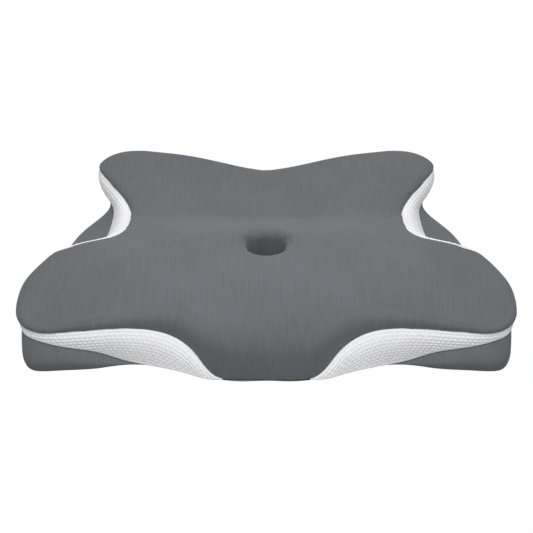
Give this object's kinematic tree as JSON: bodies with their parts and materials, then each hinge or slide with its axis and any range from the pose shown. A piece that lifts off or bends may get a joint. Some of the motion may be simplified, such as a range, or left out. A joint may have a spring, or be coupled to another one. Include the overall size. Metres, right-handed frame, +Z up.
{
  "type": "contour neck pillow",
  "caption": "Butterfly-shaped memory-foam neck support pillow with a round centre hollow and a zipped two-tone cover.",
  "frame": {"origin": "middle of the underside, on the surface that the pillow rests on", "axes": "+X along the width, to the right of a user facing +Y; -Y towards the tall neck roll; +Z up"},
  "size_m": [0.645, 0.4234, 0.114],
  "materials": {
    "grey_knit": "fine ribbed grey knit",
    "white_mesh": "white air-mesh knit with small dimples",
    "liner": "thin smooth white jersey",
    "foam": "pale matt open-cell foam",
    "zip_tape": "woven tape",
    "zip_teeth": "moulded coil",
    "zip_metal": "dark grey enamelled die-casting"
  },
  "bodies": {
    "pillow": {"foam_core": "foam", "liner_top": "liner", "liner_bottom": "liner", "cover_top_panel": "grey_knit", "cover_bottom_panel": "grey_knit", "hollow_lining": "grey_knit", "front_left_side_panel": "white_mesh", "front_right_side_panel": "white_mesh", "rear_left_side_panel": "white_mesh", "rear_right_side_panel": "white_mesh", "zip_end_tab_left": "grey_knit", "zip_end_tab_right": "grey_knit", "zip_tape_upper": "zip_tape", "zip_tape_lower": "zip_tape", "zip_teeth_upper": "zip_teeth", "zip_teeth_lower": "zip_teeth", "zip_stop_closed_end": "zip_metal", "zip_stop_open_end": "zip_metal"},
    "slider": {"zip_slider": "zip_metal"},
    "pull": {"zip_pull": "zip_metal"}
  },
  "joints": [
    {"name": "zip_travel", "type": "hinge", "parent": "pillow", "child": "slider", "pos_m": [0, 0.8393, 0.041], "axis": [0, 0, 1], "range_deg": [0, 27.2]},
    {"name": "pull_swing", "type": "hinge", "parent": "slider", "child": "pull", "pos_m": [-0.15439, 0.20111, 0.041], "axis": [0, 0, 1], "range_deg": [0, 175]}
  ]
}
